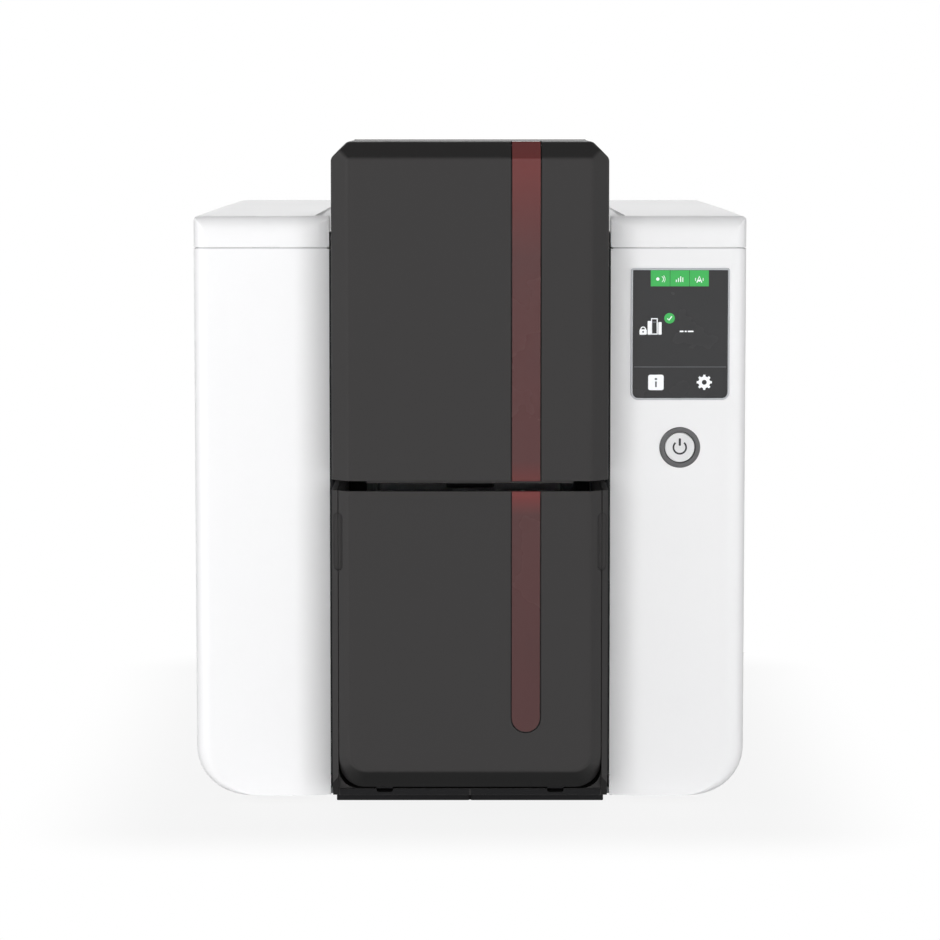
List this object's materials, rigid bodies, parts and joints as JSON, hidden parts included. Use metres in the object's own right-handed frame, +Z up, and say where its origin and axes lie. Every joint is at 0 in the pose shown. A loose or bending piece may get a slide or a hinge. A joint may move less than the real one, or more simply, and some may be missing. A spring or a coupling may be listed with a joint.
{
  "type": "id card printer",
  "caption": "Desktop card printer: white case with a rear-hinged lid, tall dark front column with a lift-up feeder door over a pull-out card hopper, small screen and power button.",
  "frame": {"origin": "on the desk, under the middle of the whole printer's width and depth", "axes": "+Z up; the front column faces -Y; +X is on the right of someone who faces the printer"},
  "size_m": [0.205, 0.381, 0.247],
  "materials": {
    "white_shell": "fine-textured white moulding",
    "dark_cover": "satin charcoal moulding",
    "black_plastic": "plain black moulding",
    "red_window": "smoked red see-through strip",
    "screen_glass": "dark screen glass with a lit picture",
    "screen_frame": "pale gloss frame",
    "button_ring": "dark ring",
    "button_cap": "white key with a dark power sign",
    "steel": "zinc-plated sheet and turned steel",
    "aluminium": "extruded aluminium",
    "rubber": "black rubber",
    "grey_plastic": "grey moulding",
    "circuit_board": "green solder mask with parts",
    "ribbon": "dark print film",
    "cleaning_blue": "tacky blue sleeve",
    "ceramic": "glazed ceramic and resin board",
    "brass": "turned brass"
  },
  "bodies": {
    "case": {"base_tray": "grey_plastic", "rubber_feet": "rubber", "left_side_shell": "white_shell", "right_side_shell": "white_shell", "rear_panel": "white_shell", "column_liner": "black_plastic", "hopper_bay": "dark_cover", "front_plinth": "black_plastic", "feeder_housing": "dark_cover", "display_bezel": "screen_frame", "display_glass": "screen_glass", "control_board": "circuit_board", "button_ring": "button_ring", "chassis_left_plate": "steel", "chassis_right_plate": "steel", "cross_bars": "steel", "card_track": "black_plastic", "hinge_posts": "steel", "hinge_pins": "steel", "ribbon_film": "ribbon", "drive_motor": "black_plastic", "drive_belts": "rubber", "ribbon_motor": "steel", "main_board": "circuit_board", "power_inlet": "black_plastic", "data_ports": "steel", "fan_housing": "black_plastic", "cleaning_frame": "black_plastic", "case_screws": "steel"},
    "lid": {"top_cover": "white_shell", "head_bracket": "steel", "heat_sink": "aluminium", "print_head": "ceramic", "head_springs": "steel", "lid_latches": "black_plastic"},
    "door": {"feeder_door": "dark_cover", "door_window": "red_window"},
    "hopper": {"output_hopper": "dark_cover", "hopper_window": "red_window"},
    "power_key": {"power_button": "button_cap"},
    "pusher": {"card_pusher": "black_plastic"},
    "gauge": {"gauge_slider": "steel"},
    "pick": {"pick_shaft": "steel", "pick_roller": "rubber"},
    "front_drive": {"front_shaft": "steel", "front_rollers": "rubber"},
    "platen": {"platen_shaft": "steel", "platen_roller": "rubber"},
    "rear_drive": {"rear_shaft": "steel", "rear_rollers": "rubber"},
    "front_idler": {"front_pinch": "grey_plastic"},
    "rear_idler": {"rear_pinch": "grey_plastic"},
    "cleaner": {"cleaning_roller": "cleaning_blue"},
    "supply": {"supply_spool": "ribbon"},
    "takeup": {"takeup_spool": "ribbon"},
    "motor_wheel": {"motor_pulley": "black_plastic"},
    "pinion": {"ribbon_pinion": "brass"},
    "fan": {"fan_rotor": "black_plastic"},
    "flap": {"rear_flap": "white_shell"}
  },
  "joints": [
    {"name": "lid_hinge", "type": "hinge", "parent": "case", "child": "lid", "pos_m": [0, 0.18, 0.207], "axis": [-1, 0, 0], "range_deg": [0, 70]},
    {"name": "door_hinge", "type": "hinge", "parent": "case", "child": "door", "pos_m": [0, -0.103, 0.239], "axis": [-1, 0, 0], "range_deg": [0, 75]},
    {"name": "hopper_slide", "type": "slide", "parent": "case", "child": "hopper", "axis": [0, -1, 0], "range_m": [0, 0.06]},
    {"name": "power_press", "type": "slide", "parent": "case", "child": "power_key", "axis": [0, 1, 0], "range_m": [0, 0.0008], "stiffness_N_per_m": 300},
    {"name": "pusher_slide", "type": "slide", "parent": "case", "child": "pusher", "axis": [0, 0, 1], "range_m": [0, 0.07]},
    {"name": "gauge_slide", "type": "slide", "parent": "case", "child": "gauge", "axis": [1, 0, 0], "range_m": [-0.006, 0.006]},
    {"name": "platen_spin", "type": "hinge", "parent": "case", "child": "platen", "pos_m": [0, 0.015, 0.123], "axis": [1, 0, 0], "continuous": true},
    {"name": "front_spin", "type": "hinge", "parent": "case", "child": "front_drive", "pos_m": [0, -0.07, 0.123], "axis": [1, 0, 0], "continuous": true},
    {"name": "rear_spin", "type": "hinge", "parent": "case", "child": "rear_drive", "pos_m": [0, 0.095, 0.123], "axis": [1, 0, 0], "continuous": true},
    {"name": "pick_spin", "type": "hinge", "parent": "case", "child": "pick", "pos_m": [0, -0.108, 0.1223], "axis": [1, 0, 0], "continuous": true},
    {"name": "motor_spin", "type": "hinge", "parent": "case", "child": "motor_wheel", "pos_m": [0, 0.012, 0.062], "axis": [1, 0, 0], "continuous": true},
    {"name": "front_idler_spin", "type": "hinge", "parent": "case", "child": "front_idler", "pos_m": [0, -0.07, 0.13476], "axis": [1, 0, 0], "continuous": true},
    {"name": "rear_idler_spin", "type": "hinge", "parent": "case", "child": "rear_idler", "pos_m": [0, 0.095, 0.13476], "axis": [1, 0, 0], "continuous": true},
    {"name": "cleaner_spin", "type": "hinge", "parent": "case", "child": "cleaner", "pos_m": [0, -0.052, 0.13706], "axis": [1, 0, 0], "continuous": true},
    {"name": "takeup_spin", "type": "hinge", "parent": "case", "child": "takeup", "pos_m": [0, -0.036, 0.166], "axis": [1, 0, 0], "continuous": true},
    {"name": "supply_spin", "type": "hinge", "parent": "case", "child": "supply", "pos_m": [0, 0.062, 0.166], "axis": [1, 0, 0], "continuous": true},
    {"name": "pinion_spin", "type": "hinge", "parent": "case", "child": "pinion", "pos_m": [0, -0.0552, 0.166], "axis": [1, 0, 0], "continuous": true},
    {"name": "fan_spin", "type": "hinge", "parent": "case", "child": "fan", "pos_m": [-0.068, 0, 0.095], "axis": [0, 1, 0], "continuous": true},
    {"name": "flap_hinge", "type": "hinge", "parent": "case", "child": "flap", "pos_m": [0, 0.1893, 0.139], "axis": [1, 0, 0], "range_deg": [0, 70]}
  ],
  "couplings": [
    {"joint": "front_spin", "follows": "platen_spin", "ratio": 1},
    {"joint": "rear_spin", "follows": "platen_spin", "ratio": 1},
    {"joint": "pick_spin", "follows": "platen_spin", "ratio": 1},
    {"joint": "motor_spin", "follows": "platen_spin", "ratio": 1.4},
    {"joint": "front_idler_spin", "follows": "platen_spin", "ratio": -1.2},
    {"joint": "rear_idler_spin", "follows": "platen_spin", "ratio": -1.2},
    {"joint": "supply_spin", "follows": "takeup_spin", "ratio": 0.64286},
    {"joint": "pinion_spin", "follows": "takeup_spin", "ratio": -3}
  ]
}
